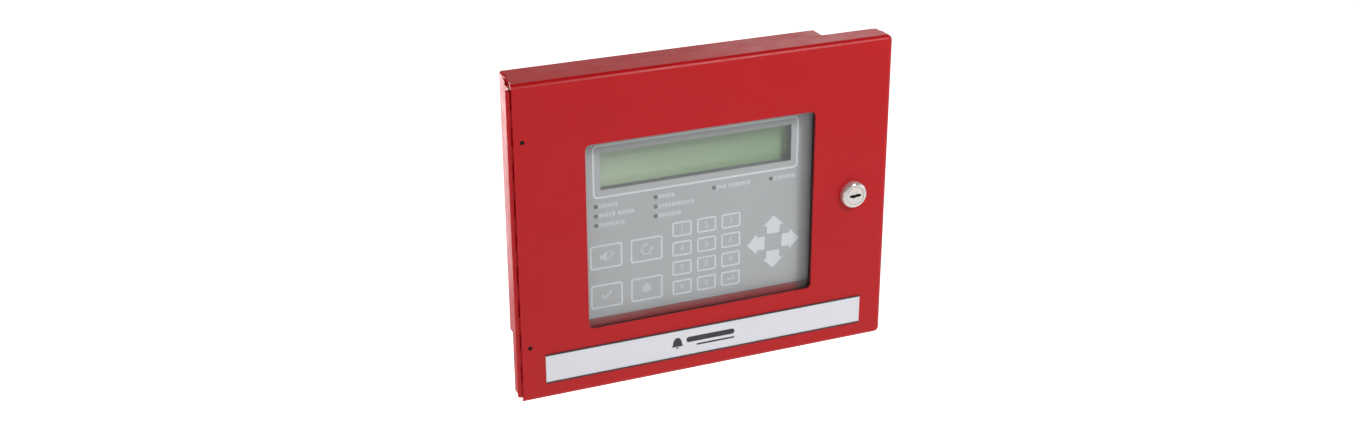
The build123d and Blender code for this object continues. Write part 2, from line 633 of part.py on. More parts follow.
with BuildPart() as dead_front_screws:
    with BuildSketch(level(TRIM_HEIGHT)):
        with Locations(FOOT_MIDDLE):
            with GridLocations(FOOT_SCREW_PITCH, FOOT_SCREW_SPREAD, 3, 2):
                Circle(M3_SHANK_R)
    extrude(amount=FRAME_FLOOR + PLATE_SHEET - TRIM_HEIGHT)
    with BuildSketch(level(FRAME_FLOOR + PLATE_SHEET)):
        with Locations(FOOT_MIDDLE):
            with GridLocations(FOOT_SCREW_PITCH, FOOT_SCREW_SPREAD, 3, 2):
                Circle(FOOT_SCREW_HEAD[0])
    extrude(amount=FOOT_SCREW_HEAD[1])
pieces["dead_front_screws"] = dead_front_screws

with BuildPart() as keypad_overlay:
    with BuildSketch(level(OVERLAY_REAR)):
        with Locations(middle(OVERLAY_X, OVERLAY_Z)):
            Rectangle(span(OVERLAY_X), span(OVERLAY_Z))
        with Locations(display_mid):
            Rectangle(*DISPLAY_WINDOW, mode=Mode.SUBTRACT)
    extrude(amount=OVERLAY_T)
    for place, plunger, outline, arguments in keys.values():
        with BuildSketch(level(OVERLAY_REAR)):
            with Locations(place):
                outline(*arguments, gap=KEY_GAP)
        extrude(amount=OVERLAY_T, mode=Mode.SUBTRACT)
    with BuildSketch(level(OVERLAY_REAR)):
        with Locations(*led_places):
            Circle(LED_R + KEY_GAP)
    extrude(amount=OVERLAY_T, mode=Mode.SUBTRACT)
pieces["keypad_overlay"] = keypad_overlay

# ---- key board --------------------------------------------------------------------------

with BuildPart() as key_board:
    with BuildSketch(level(KEY_BOARD_HEIGHT)):
        with Locations(key_board_mid):
            Rectangle(span(KEY_BOARD_X), span(KEY_BOARD_Z))
            with GridLocations(*KEY_BOARD_SPACERS, 2, 2):
                Circle(M3_R, mode=Mode.SUBTRACT)
    extrude(amount=BOARD_T)
pieces["key_board"] = key_board

with BuildPart() as key_switches:
    with BuildSketch(level(KEY_BOARD_TOP)):
        with Locations(*plunger_places):
            Rectangle(SWITCH_BODY[0], SWITCH_BODY[0])
    extrude(amount=SWITCH_BODY[1])
    with BuildSketch(level(KEY_BOARD_TOP + SWITCH_BODY[1])):
        with Locations(*plunger_places):
            Circle(SWITCH_BUTTON[0])
    extrude(amount=SWITCH_BUTTON[1])
pieces["key_switches"] = key_switches

with BuildPart() as status_leds:
    with BuildSketch(level(KEY_BOARD_TOP)):
        with Locations(*led_places):
            Circle(LED_R)
    extrude(amount=OVERLAY_FRONT + LED_RISE - KEY_BOARD_TOP)
pieces["status_leds"] = status_leds

# ---- display module ---------------------------------------------------------------------

with BuildPart() as display_board:
    with BuildSketch(level(DISPLAY_BOARD_HEIGHT)):
        with Locations(display_mid):
            Rectangle(*DISPLAY_BOARD)
            with GridLocations(*DISPLAY_SPACERS, 2, 2):
                Circle(M3_R, mode=Mode.SUBTRACT)
    extrude(amount=BOARD_T)
pieces["display_board"] = display_board

with BuildPart() as display_bezel:
    with BuildSketch(level(DISPLAY_BOARD_TOP)):
        with Locations(display_mid):
            RectangleRounded(*DISPLAY_BEZEL, 1.5)
    extrude(amount=BEZEL_TOP - DISPLAY_BOARD_TOP)
    with BuildSketch(level(DISPLAY_BOARD_TOP)):
        with Locations(display_mid):
            Rectangle(DISPLAY_BEZEL[0] - 2 * BEZEL_SHEET, DISPLAY_BEZEL[1] - 2 * BEZEL_SHEET)
    extrude(amount=BEZEL_TOP - DISPLAY_BOARD_TOP - BEZEL_SHEET, mode=Mode.SUBTRACT)
    with BuildSketch(level(GLASS_TOP)):
        with Locations(display_mid):
            Rectangle(*DISPLAY_VIEW)
    extrude(amount=BEZEL_SHEET, mode=Mode.SUBTRACT)
pieces["display_bezel"] = display_bezel

with BuildPart() as display_glass:
    with BuildSketch(level(GLASS_TOP - GLASS_T)):
        with Locations(display_mid):
            Rectangle(DISPLAY_VIEW[0] + GLASS_LAP[0], DISPLAY_VIEW[1] + GLASS_LAP[1])
    extrude(amount=GLASS_T)
pieces["display_glass"] = display_glass

with BuildPart() as display_backlight:
    with BuildSketch(level(DISPLAY_BOARD_TOP)):
        with Locations(display_mid):
            Rectangle(DISPLAY_VIEW[0] + GLASS_LAP[0], DISPLAY_VIEW[1] + GLASS_LAP[1])
    extrude(amount=GLASS_TOP - GLASS_T - DISPLAY_BOARD_TOP)
pieces["display_backlight"] = display_backlight

# hexagonal spacers hold both boards off the back of the inner panel
with BuildPart() as panel_spacers:
    spacer_groups = (
        (key_board_mid, KEY_BOARD_SPACERS, KEY_BOARD_TOP),
        (display_mid, DISPLAY_SPACERS, DISPLAY_BOARD_TOP),
    )
    for centre, spacing, seat in spacer_groups:
        with BuildSketch(level(seat)):
            with Locations(centre):
                with GridLocations(*spacing, 2, 2):
                    RegularPolygon(SPACER_R, 6, major_radius=False)
                    Circle(M3_R, mode=Mode.SUBTRACT)
        extrude(amount=PLATE_HEIGHT - seat)
pieces["panel_spacers"] = panel_spacers

# ---- main board and wiring --------------------------------------------------------------

MAIN_HOLES = (MAIN_BOARD[0] - 2 * BOARD_HOLE_EDGE, MAIN_BOARD[1] - 2 * BOARD_HOLE_EDGE)
with BuildPart() as main_board:
    with BuildSketch(level(MAIN_BOARD_HEIGHT)):
        with Locations(MAIN_BOARD_AT):
            RectangleRounded(*MAIN_BOARD, 2)
            with GridLocations(*MAIN_HOLES, 2, 2):
                Circle(M3_R, mode=Mode.SUBTRACT)
    extrude(amount=BOARD_T)
pieces["main_board"] = main_board

with BuildPart() as main_board_standoffs:
    with BuildSketch(level(BOX_SHEET)):
        with Locations(MAIN_BOARD_AT):
            with GridLocations(*MAIN_HOLES, 2, 2):
                RegularPolygon(SPACER_R, 6, major_radius=False)
                Circle(M3_R, mode=Mode.SUBTRACT)
    extrude(amount=MAIN_BOARD_HEIGHT - BOX_SHEET)
pieces["main_board_standoffs"] = main_board_standoffs

# one screw for every board hole: main board, key board and display board
with BuildPart() as board_screws:
    screw_groups = (
        (MAIN_BOARD_AT, MAIN_HOLES, MAIN_BOARD_TOP, -1),
        (key_board_mid, KEY_BOARD_SPACERS, KEY_BOARD_HEIGHT, 1),
        (display_mid, DISPLAY_SPACERS, DISPLAY_BOARD_HEIGHT, 1),
    )
    for centre, spacing, seat, shank_way in screw_groups:
        with BuildSketch(level(seat)):
            with Locations(centre):
                with GridLocations(*spacing, 2, 2):
                    Circle(BOARD_SCREW_HEAD[0])
        extrude(amount=-BOARD_SCREW_HEAD[1] * shank_way)
        with BuildSketch(level(seat)):
            with Locations(centre):
                with GridLocations(*spacing, 2, 2):
                    Circle(M3_SHANK_R)
        extrude(amount=BOARD_SCREW_BITE * shank_way)
pieces["board_screws"] = board_screws

TERMINAL_PITCH = 5.08
TERMINAL_WAYS = 12
TERMINAL_BLOCKS_X = (-42.0, 42.0)
TERMINAL_Z = -37.5
TERMINAL_SIZE = (9.0, 11.0)  # depth along the board and height
SCREW_SINK = 4.0  # from the block's top to the screws' seat
terminal_places = [
    (x + (way - (TERMINAL_WAYS - 1) / 2) * TERMINAL_PITCH, TERMINAL_Z)
    for x in TERMINAL_BLOCKS_X
    for way in range(TERMINAL_WAYS)
]
with BuildPart() as terminal_blocks:
    with BuildSketch(level(MAIN_BOARD_TOP)):
        with Locations(*[(x, TERMINAL_Z) for x in TERMINAL_BLOCKS_X]):
            Rectangle(TERMINAL_WAYS * TERMINAL_PITCH, TERMINAL_SIZE[0])
    extrude(amount=TERMINAL_SIZE[1])
    with BuildSketch(level(MAIN_BOARD_TOP + TERMINAL_SIZE[1])):
        with Locations(*terminal_places):
            Circle(1.9)
    extrude(amount=-SCREW_SINK, mode=Mode.SUBTRACT)
    # wire openings in the lower side
    with BuildSketch(Plane.XY.offset(TERMINAL_Z - TERMINAL_SIZE[0] / 2)):
        with Locations(*[(x, -MAIN_BOARD_TOP - 4) for x, _ in terminal_places]):
            Rectangle(3.6, 4.2)
    extrude(amount=3.2, mode=Mode.SUBTRACT)
pieces["terminal_blocks"] = terminal_blocks

with BuildPart() as terminal_screws:
    seat = MAIN_BOARD_TOP + TERMINAL_SIZE[1] - SCREW_SINK
    with BuildSketch(level(seat)):
        with Locations(*terminal_places):
            Circle(1.8)
    extrude(amount=2.4)
    with BuildSketch(level(seat + 2.4)):
        with Locations(*terminal_places):
            Rectangle(3.0, 0.6)
    extrude(amount=-0.8, mode=Mode.SUBTRACT)
pieces["terminal_screws"] = terminal_screws

# processor, memory, line drivers, relays and the crystal, as (x, z, width, height, thickness)
CHIPS = (
    (-20, 22, 20, 20, 2.0),
    (8, 30, 12, 8, 1.8),
    (8, 14, 12, 8, 1.8),
    (30, 30, 18, 8, 3.4),
    (30, 14, 18, 8, 3.4),
    (56, 34, 19, 15, 15.0),
    (56, 12, 19, 15, 15.0),
    (-20, 2, 11, 5, 3.6),
)
with BuildPart() as board_components:
    for x, z, width, height, thickness in CHIPS:
        with BuildSketch(level(MAIN_BOARD_TOP)):
            with Locations((x, z)):
                Rectangle(width, height)
        extrude(amount=thickness)
pieces["board_components"] = board_components

CAPACITORS = ((-66, 44, 6.3), (-50, 44, 5.0), (70, -14, 5.0))
with BuildPart() as capacitors:
    for x, z, radius in CAPACITORS:
        with BuildSketch(level(MAIN_BOARD_TOP)):
            with Locations((x, z)):
                Circle(radius)
        extrude(amount=3 * radius)
    fillet(capacitors.edges().filter_by(GeomType.CIRCLE).group_by(Axis.Y)[0], radius=0.6)
pieces["capacitors"] = capacitors

SOUNDER_AT = (38.0, 52.0)
SOUNDER_T = 9.0
with BuildPart() as sounder:
    with BuildSketch(level(MAIN_BOARD_TOP)):
        with Locations(SOUNDER_AT):
            Circle(11.5)
    extrude(amount=SOUNDER_T)
    fillet(sounder.faces().sort_by(Axis.Y)[0].edges(), radius=0.8)
    with BuildSketch(level(MAIN_BOARD_TOP + SOUNDER_T)):
        with Locations(SOUNDER_AT):
            Circle(1.5)
    extrude(amount=-5, mode=Mode.SUBTRACT)
pieces["sounder"] = sounder

RIBBON_X = -62.0
RIBBON_W = 25.4
RIBBON_T = 0.9
PLUG_H = 8.0
PLUG_SIZE = (RIBBON_W + 6, 7.0)
RIBBON_Z = (-14.0, -42.0)  # on the main board, and on the key board
with BuildPart() as ribbon_connectors:
    with BuildSketch(level(MAIN_BOARD_TOP)):
        with Locations((RIBBON_X, RIBBON_Z[0])):
            Rectangle(*PLUG_SIZE)
    extrude(amount=PLUG_H)
    with BuildSketch(level(KEY_BOARD_HEIGHT)):
        with Locations((RIBBON_X, RIBBON_Z[1])):
            Rectangle(*PLUG_SIZE)
    extrude(amount=-PLUG_H)
pieces["ribbon_connectors"] = ribbon_connectors

with BuildPart() as ribbon_cable:
    low = MAIN_BOARD_TOP + PLUG_H + RIBBON_T / 2
    high = KEY_BOARD_HEIGHT - PLUG_H - RIBBON_T / 2
    middle_height = (low + high) / 2
    with BuildSketch(Plane.YZ.offset(RIBBON_X - RIBBON_W / 2)):
        with BuildLine():
            # the offset below rounds the ends, which then just reach the connectors
            FilletPolyline(
                (-low, RIBBON_Z[0]),
                (-middle_height, RIBBON_Z[0]),
                (-middle_height, RIBBON_Z[1]),
                (-high, RIBBON_Z[1]),
                radius=9,
            )
            offset(amount=RIBBON_T / 2, side=Side.BOTH)
        make_face()
    extrude(amount=RIBBON_W)
pieces["ribbon_cable"] = ribbon_cable

GROUND_AT = (98.0, -72.0)
GROUND_R = 2.0
# the stud with its flange, and two nuts that are free of it
with BuildPart() as ground_stud:
    with BuildSketch(level(BOX_SHEET)):
        with Locations(GROUND_AT):
            Circle(2 * GROUND_R)
    extrude(amount=1.2)
    with BuildSketch(level(BOX_SHEET)):
        with Locations(GROUND_AT):
            Circle(GROUND_R)
    extrude(amount=16)
    for height in (4.0, 9.0):
        with BuildSketch(level(height)):
            with Locations(GROUND_AT):
                RegularPolygon(3.5, 6, major_radius=False)
                Circle(GROUND_R + PLUG_CLEARANCE, mode=Mode.SUBTRACT)
        extrude(amount=3.2)
pieces["ground_stud"] = ground_stud

# ---- write every piece ------------------------------------------------------------------

os.makedirs("parts", exist_ok=True)
for name, piece in pieces.items():
    piece.part.label = name
    export_step(piece.part, f"parts/{name}.step")
print(len(pieces), "pieces written")
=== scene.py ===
import json
import math

import bmesh
import bpy
from mathutils import Matrix, Quaternion, Vector


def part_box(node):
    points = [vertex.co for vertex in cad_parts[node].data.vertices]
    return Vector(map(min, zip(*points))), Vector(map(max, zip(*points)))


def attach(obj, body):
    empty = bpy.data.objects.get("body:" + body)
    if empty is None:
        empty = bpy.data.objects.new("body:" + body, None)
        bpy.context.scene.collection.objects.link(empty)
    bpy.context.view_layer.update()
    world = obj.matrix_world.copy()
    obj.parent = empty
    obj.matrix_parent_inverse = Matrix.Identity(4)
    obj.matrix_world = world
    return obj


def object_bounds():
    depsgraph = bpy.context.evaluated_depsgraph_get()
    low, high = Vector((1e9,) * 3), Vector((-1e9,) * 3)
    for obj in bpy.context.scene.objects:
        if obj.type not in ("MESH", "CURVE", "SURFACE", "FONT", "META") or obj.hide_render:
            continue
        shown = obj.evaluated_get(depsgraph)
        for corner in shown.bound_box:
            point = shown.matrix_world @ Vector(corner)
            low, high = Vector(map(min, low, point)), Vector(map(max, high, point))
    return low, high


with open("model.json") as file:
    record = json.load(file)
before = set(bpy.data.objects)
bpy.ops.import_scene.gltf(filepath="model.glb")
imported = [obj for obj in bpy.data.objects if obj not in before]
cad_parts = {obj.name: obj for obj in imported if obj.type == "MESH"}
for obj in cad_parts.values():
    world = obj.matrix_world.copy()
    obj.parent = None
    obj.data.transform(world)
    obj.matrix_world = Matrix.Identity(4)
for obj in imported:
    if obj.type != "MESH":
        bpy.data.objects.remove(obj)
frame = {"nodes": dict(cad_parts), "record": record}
cad_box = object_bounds()

# The fire alarm control panel: +X is right, +Z is up and the door faces -Y. The camera, the floor,
# the lights and the patterns of the materials are in metres. Print is in millimetres.

MM = 0.001

# ---- camera, floor and light ------------------------------------------------------------

CAMERA_AT = (-0.4528, -1.1179, 0.4928)
CAMERA_AZIMUTH = 22.65  # the camera looks to the right of straight at the door
CAMERA_ELEVATION = -23.31
CAMERA_ROLL = -0.08
CAMERA_LENS = 46.36
CAMERA_SENSOR = 36.0
CAMERA_NEAR = 0.01

FLOOR_DROP = 0.30  # the panel hangs this far above the floor
FLOOR_SIZE = 40.0
FLOOR_GREY = 0.92
FLOOR_ROUGHNESS = 0.9
FLOOR_GLOW = {"floor_front": 0.43, "floor_rear": 0.0}
# the studio's brightness by height: (sine of the elevation, brightness)
WORLD_BANDS = ((0.0, 1.28), (0.3, 0.12), (0.6, 0.0))

MIDDLE = (0.0, 0.0, 0.0)
HINGE_SIDE = (-0.14, 0.0, 0.0)
HINGE_FOOT = (-0.14, 0.0, -0.02)
TOP_EDGE = (0.0, 0.0, 0.1)
# each soft light: (azimuth, elevation, distance), the place that it faces, its size and its power
LIGHTS = {
    "key_softbox": ((30, 42, 1.3), MIDDLE, (0.3, 0.4), 8.8),
    "right_softbox": ((62, 10, 1.5), MIDDLE, (0.6, 0.8), 2.2),
    "left_softbox": ((-100, 25, 1.3), HINGE_SIDE, (0.6, 0.9), 9.3),
    "left_glint": ((-158, -10, 1.5), HINGE_SIDE, (0.5, 0.3), 3.0),
    "low_glint": ((-157, -19, 0.85), HINGE_FOOT, (0.5, 0.26), 0.9),
    "rear_softbox": ((140, 22, 2.4), TOP_EDGE, (1.2, 1.0), 3.8),
    "rear_card": ((160, 16, 2.4), TOP_EDGE, (1.6, 0.8), 1.6),
}


def turn(axis, degrees):
    """A rotation about an axis."""
    return Quaternion(axis, math.radians(degrees))


def add_camera():
    camera = bpy.data.objects.new("camera", bpy.data.cameras.new("camera"))
    camera.data.lens = CAMERA_LENS
    camera.data.sensor_width = CAMERA_SENSOR
    camera.data.clip_start = CAMERA_NEAR
    camera.location = CAMERA_AT
    camera.rotation_mode = "QUATERNION"
    heading = turn((0, 0, 1), -CAMERA_AZIMUTH)
    tilt = turn((1, 0, 0), 90 + CAMERA_ELEVATION)
    camera.rotation_quaternion = heading @ tilt @ turn((0, 0, 1), CAMERA_ROLL)
    bpy.context.scene.collection.objects.link(camera)
    bpy.context.scene.camera = camera


def around(azimuth, elevation, distance):
    """A place round the panel; azimuth 0 is straight ahead of the door, and + is to its right."""
    a, e = math.radians(azimuth), math.radians(elevation)
    way = Vector((math.sin(a) * math.cos(e), -math.cos(a) * math.cos(e), math.sin(e)))
    return way * distance


def add_lights():
    for name, (place, aim, size, power) in LIGHTS.items():
        data = bpy.data.lights.new(name, "AREA")
        data.shape = "RECTANGLE"
        data.size, data.size_y = size
        data.energy = power
        light = bpy.data.objects.new(name, data)
        light.location = around(*place)
        light.rotation_mode = "QUATERNION"
        light.rotation_quaternion = (light.location - Vector(aim)).to_track_quat("Z", "Y")
        light.visible_camera = False
        bpy.context.scene.collection.objects.link(light)


def add_studio():
    """A plain grey surround, in bands of brightness from the floor to overhead."""
    world = bpy.data.worlds.new("studio")
    world.use_nodes = True
    tree = world.node_tree
    place = tree.nodes.new("ShaderNodeTexCoord")
    split = tree.nodes.new("ShaderNodeSeparateXYZ")
    ramp = tree.nodes.new("ShaderNodeValToRGB")
    tree.links.new(place.outputs["Generated"], split.inputs["Vector"])
    tree.links.new(split.outputs["Z"], ramp.inputs["Fac"])
    ramp.color_ramp.elements.new(0.5)  # a third stop, between the two that a ramp starts with
    for element, (height, glow) in zip(ramp.color_ramp.elements, WORLD_BANDS):
        element.position = height
        element.color = (glow, glow, glow, 1)
    tree.links.new(ramp.outputs["Color"], tree.nodes["Background"].inputs["Color"])
    bpy.context.scene.world = world


def add_floor(name, start, end):
    """One strip of the floor, from one Y to another."""
    z, half = cad_box[0][2] - FLOOR_DROP, FLOOR_SIZE / 2
    mesh = bpy.data.meshes.new(name)
    corners = [(-half, start, z), (half, start, z), (half, end, z), (-half, end, z)]
    mesh.from_pydata(corners, [], [(0, 1, 2, 3)])
    mesh.materials.append(white_floor(name, FLOOR_GLOW[name]))
    floor = bpy.data.objects.new(name, mesh)
    bpy.context.scene.collection.objects.link(floor)


def white_floor(name, glow):
    """White paper that glows onto the panel and looks plain white itself."""
    shade = Shade(name)
    shade.colour((FLOOR_GREY, FLOOR_GREY, FLOOR_GREY))
    shade.roughness(FLOOR_ROUGHNESS)
    seen = shade.add("ShaderNodeLightPath").outputs["Is Camera Ray"]
    shade.set(shade.shader, "Emission Color", (1, 1, 1, 1))
    shade.set(shade.shader, "Emission Strength", shade.sum(seen, glow))
    return shade.material


# ---- shading ----------------------------------------------------------------------------

BEVEL_SAMPLES = 6
# the cosine between a face's normal and its rounded normal, where an edge starts and is complete
EDGE_COSINES = (0.995, 0.9)
NOISE_RANGE = (0.3, 0.7)  # where most of a noise pattern's values lie
MIX_FACTOR, MIX_FIRST, MIX_SECOND, MIX_RESULT = 0, 6, 7, 2  # a Mix node's sockets for colours


def is_socket(value):
    return isinstance(value, bpy.types.NodeSocket)


def opaque(colour):
    """A colour for a node's input, which is three numbers or another node's output."""
    return colour if is_socket(colour) else (*colour, 1.0)


class Shade:
    """A node material: a Principled shader, and the few patterns that the materials share."""

    def __init__(self, name, metallic=0.0, specular=0.5):
        self.material = bpy.data.materials.new(name)
        self.material.use_nodes = True
        self.tree = self.material.node_tree
        self.shader = self.tree.nodes["Principled BSDF"]
        self.output = self.tree.nodes["Material Output"]
        self.set(self.shader, "Metallic", metallic)
        self.set(self.shader, "Specular IOR Level", specular)
        self.place = self.add("ShaderNodeTexCoord").outputs["Object"]

    def add(self, kind, **settings):
        node = self.tree.nodes.new(kind)
        for key, value in settings.items():
            setattr(node, key, value)
        return node

    def set(self, node, socket, value):
        """Gives a node's input a value, or joins another node's output to it."""
        if is_socket(value):
            self.tree.links.new(value, node.inputs[socket])
        else:
            node.inputs[socket].default_value = value

    def stretch(self, x, y, z):
        """The object's coordinates, scaled along each axis."""
        node = self.add("ShaderNodeMapping")
        self.set(node, "Vector", self.place)
        self.set(node, "Scale", (x, y, z))
        return node.outputs["Vector"]

    def noise(self, scale, detail=3.0, vector=None):
        """Noise from 0 to 1; scale is in features per metre."""
        node = self.add("ShaderNodeTexNoise")
        self.set(node, "Vector", vector or self.place)
        self.set(node, "Scale", scale)
        self.set(node, "Detail", detail)
        return node.outputs["Fac"]

    def cells(self, scale):
        """Distance from the middles of scattered cells."""
        node = self.add("ShaderNodeTexVoronoi")
        self.set(node, "Vector", self.place)
        self.set(node, "Scale", scale)
        return node.outputs["Distance"]

    def spread(self, value, low, high, to_low=0.0, to_high=1.0):
        """value from low..high to to_low..to_high, clamped."""
        node = self.add("ShaderNodeMapRange")
        self.set(node, "Value", value)
        self.set(node, "From Min", low)
        self.set(node, "From Max", high)
        self.set(node, "To Min", to_low)
        self.set(node, "To Max", to_high)
        return node.outputs["Result"]

    def maths(self, operation, first, second):
        node = self.add("ShaderNodeMath", operation=operation)
        self.set(node, 0, first)
        self.set(node, 1, second)
        return node.outputs["Value"]

    def sum(self, first, second):
        return self.maths("ADD", first, second)

    def times(self, first, second):
        return self.maths("MULTIPLY", first, second)

    def mix(self, factor, first, second):
        """A colour between two colours."""
        node = self.add("ShaderNodeMix", data_type="RGBA")
        self.set(node, MIX_FACTOR, factor)
        self.set(node, MIX_FIRST, opaque(first))
        self.set(node, MIX_SECOND, opaque(second))
        return node.outputs[MIX_RESULT]

    def mix_shaders(self, factor, first, second):
        node = self.add("ShaderNodeMixShader")
        for socket, value in enumerate((factor, first, second)):
            self.set(node, socket, value)
        return node.outputs["Shader"]

    def edges(self, radius):
        """(a normal with edges rounded by radius, a mask that is 1 on edges)."""
        bevel = self.add("ShaderNodeBevel", samples=BEVEL_SAMPLES)
        self.set(bevel, "Radius", radius)
        dot = self.add("ShaderNodeVectorMath", operation="DOT_PRODUCT")
        self.set(dot, 0, bevel.outputs["Normal"])
        self.set(dot, 1, self.add("ShaderNodeNewGeometry").outputs["Normal"])
        return bevel.outputs["Normal"], self.spread(dot.outputs["Value"], *EDGE_COSINES)

    def bump(self, height, distance, strength, normal=None):
        """Bump whose full height is distance, in metres."""
        node = self.add("ShaderNodeBump")
        self.set(node, "Height", height)
        self.set(node, "Distance", distance)
        self.set(node, "Strength", strength)
        if normal is not None:
            self.set(node, "Normal", normal)
        self.set(self.shader, "Normal", node.outputs["Normal"])

    def colour(self, value):
        self.set(self.shader, "Base Color", opaque(value))

    def roughness(self, value):
        self.set(self.shader, "Roughness", value)

    def uneven_roughness(self, pattern, low, high):
        """Roughness from low to high, as a noise pattern goes."""
        self.roughness(self.spread(pattern, *NOISE_RANGE, low, high))


def red_enamel():
    """Semi-gloss powder coat: fine orange peel, faint blotches, and edges that are worn and painted
    lighter as an edge highlight.
    """
    shade = Shade("red_enamel", specular=0.28)
    normal, edge = shade.edges(0.0004)
    red = shade.mix(shade.noise(14, 2), (0.47, 0.005, 0.008), (0.51, 0.007, 0.010))
    # lighter edges: partly wear, partly a painted edge highlight
    worn_and_highlit = shade.times(edge, shade.spread(shade.noise(240, 4), 0.45, 0.75))
    shade.colour(shade.mix(shade.times(worn_and_highlit, 0.35), red, (0.72, 0.16, 0.15)))
    peel = shade.sum(shade.noise(620, 2), shade.times(shade.noise(1700, 2), 0.4))
    shade.bump(peel, 0.00006, 0.5, normal)
    shade.uneven_roughness(shade.noise(55, 4), 0.31, 0.42)
    return shade.material


def zinc_steel():
    """Zinc-plated steel: a patchy bright surface with fine drawing lines."""
    shade = Shade("zinc_steel", metallic=1.0)
    normal, edge = shade.edges(0.0002)
    lines = shade.noise(300, vector=shade.stretch(0.15, 1, 4))
    patch = shade.spread(shade.cells(160), 0.0, 0.9)
    tone = shade.mix(patch, (0.52, 0.53, 0.50), (0.68, 0.67, 0.63))
    # painted highlight: the edges are lighter
    shade.colour(shade.mix(edge, tone, (0.8, 0.8, 0.78)))
    shade.bump(lines, 0.00003, 0.6, normal)
    shade.uneven_roughness(lines, 0.26, 0.45)
    return shade.material


def nickel():
    """Polished nickel with hairline scratches."""
    shade = Shade("nickel", metallic=0.6)
    normal, edge = shade.edges(0.0003)
    hairs = shade.noise(500, 4, shade.stretch(0.4, 1, 3))
    # painted highlight: the edges are lighter
    shade.colour(shade.mix(edge, (0.76, 0.71, 0.67), (0.86, 0.82, 0.78)))
    shade.bump(hairs, 0.00001, 0.5, normal)
    shade.roughness(shade.spread(hairs, 0.3, 0.75, 0.12, 0.26))
    return shade.material


def grey_film():
    """Satin polyester film with a fine sparkle of texture."""
    shade = Shade("grey_film", specular=0.35)
    normal, _ = shade.edges(0.0001)
    shade.colour(shade.mix(shade.noise(24), (0.478, 0.485, 0.495), (0.500, 0.507, 0.517)))
    shade.bump(shade.noise(2600, 2), 0.00001, 0.5, normal)
    shade.uneven_roughness(shade.noise(70, 4), 0.36, 0.48)
    return shade.material


def silver_label():
    """Silver-white film, with a faint brushed grain along its length."""
    shade = Shade("silver_label", metallic=0.1)
    grain = shade.noise(900, vector=shade.stretch(0.05, 1, 1))
    shade.colour(shade.mix(grain, (0.75, 0.75, 0.80), (0.78, 0.78, 0.83)))
    shade.bump(grain, 0.000008, 0.5)
    shade.uneven_roughness(grain, 0.32, 0.44)
    return shade.material


def circuit_board():
    """Solder mask over copper tracks and glass weave."""
    shade = Shade("circuit_board")
    tracks = shade.add("ShaderNodeTexBrick")
    shade.set(tracks, "Vector", shade.place)
    shade.set(tracks, "Scale", 60.0)
    shade.set(tracks, "Mortar Size", 0.012)
    shade.set(tracks, "Color1", (0.012, 0.12, 0.045, 1))
    shade.set(tracks, "Color2", (0.014, 0.14, 0.05, 1))
    shade.set(tracks, "Mortar", (0.05, 0.24, 0.09, 1))
    shade.colour(tracks.outputs["Color"])
    shade.bump(tracks.outputs["Fac"], 0.00003, 0.6)
    shade.uneven_roughness(shade.noise(400), 0.28, 0.42)
    return shade.material


def display_green():
    """Unlit green display: painted shade darkens it from left to right, it is darker towards the top,
    painted light makes its foot paler, and it has faint character cells.
    """
    shade = Shade("display_green", specular=0.4)
    low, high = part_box("display_glass")
    split = shade.add("ShaderNodeSeparateXYZ")
    shade.set(split, "Vector", shade.place)
    across = shade.spread(split.outputs["X"], low.x, high.x)
    up = shade.spread(split.outputs["Z"], low.z, high.z)
    # painted shade: the colour darkens from the left edge to the right edge
    base = shade.mix(across, (0.47, 0.61, 0.41), (0.24, 0.40, 0.205))
    base = shade.mix(shade.times(up, 0.18), base, (0.26, 0.38, 0.24))
    # painted light: the lowest part of the display is made paler
    lit_foot = shade.spread(up, 0.0, 0.4, 1.0, 0.0)
    base = shade.mix(lit_foot, base, shade.mix(across, (0.62, 0.79, 0.55), (0.30, 0.49, 0.25)))
    cell = shade.add("ShaderNodeTexBrick", offset=0.0)
    shade.set(cell, "Vector", shade.place)
    shade.set(cell, "Scale", 280.0)
    shade.set(cell, "Mortar Size", 0.03)
    shade.colour(shade.mix(shade.times(cell.outputs["Fac"], 0.03), base, (0.42, 0.52, 0.38)))
    shade.uneven_roughness(shade.noise(60), 0.16, 0.28)
    return shade.material


def ribbon_grey():
    """Flat cable: parallel insulated wires, so it is ribbed across its width."""
    shade = Shade("ribbon_grey")
    ribs = shade.add("ShaderNodeTexWave", bands_direction="X")
    shade.set(ribs, "Vector", shade.place)
    shade.set(ribs, "Scale", 250.0)
    shade.colour(shade.mix(ribs.outputs["Fac"], (0.33, 0.33, 0.34), (0.5, 0.5, 0.51)))
    shade.roughness(0.5)
    shade.bump(ribs.outputs["Fac"], 0.0002, 0.8)
    return shade.material


def clear_pane():
    """Clear sheet: see-through, with a soft surface reflection and a faint uneven haze. It casts
    next to no shadow."""
    shade = Shade("clear_pane")
    shade.colour((0.80, 0.82, 0.84))
    shade.roughness(0.3)
    glass = shade.add("ShaderNodeBsdfTransparent")
    shade.set(glass, "Color", (0.985, 0.99, 0.99, 1))
    see_through = glass.outputs["BSDF"]
    gloss = shade.add("ShaderNodeBsdfGlossy")
    shade.set(gloss, "Roughness", shade.spread(shade.noise(18, 4), *NOISE_RANGE, 0.04, 0.12))
    fresnel = shade.add("ShaderNodeFresnel")
    shade.set(fresnel, "IOR", 1.3)
    haze = shade.spread(shade.noise(11), 0.2, 0.8, 0.04, 0.06)
    body = shade.mix_shaders(haze, see_through, shade.shader.outputs["BSDF"])
    surface = shade.mix_shaders(fresnel.outputs["Fac"], body, gloss.outputs["BSDF"])
    in_shadow = shade.add("ShaderNodeLightPath").outputs["Is Shadow Ray"]
    shade.set(shade.output, "Surface", shade.mix_shaders(in_shadow, surface, see_through))
    return shade.material


PLASTIC_EDGE = 0.00025
ROUGHNESS_SPREAD = 0.06
MOULDED = {"grain": 900.0, "depth": 0.00004, "specular": 0.4}
INK = {"grain": 1500.0, "depth": 0.00001, "specular": 0.4}
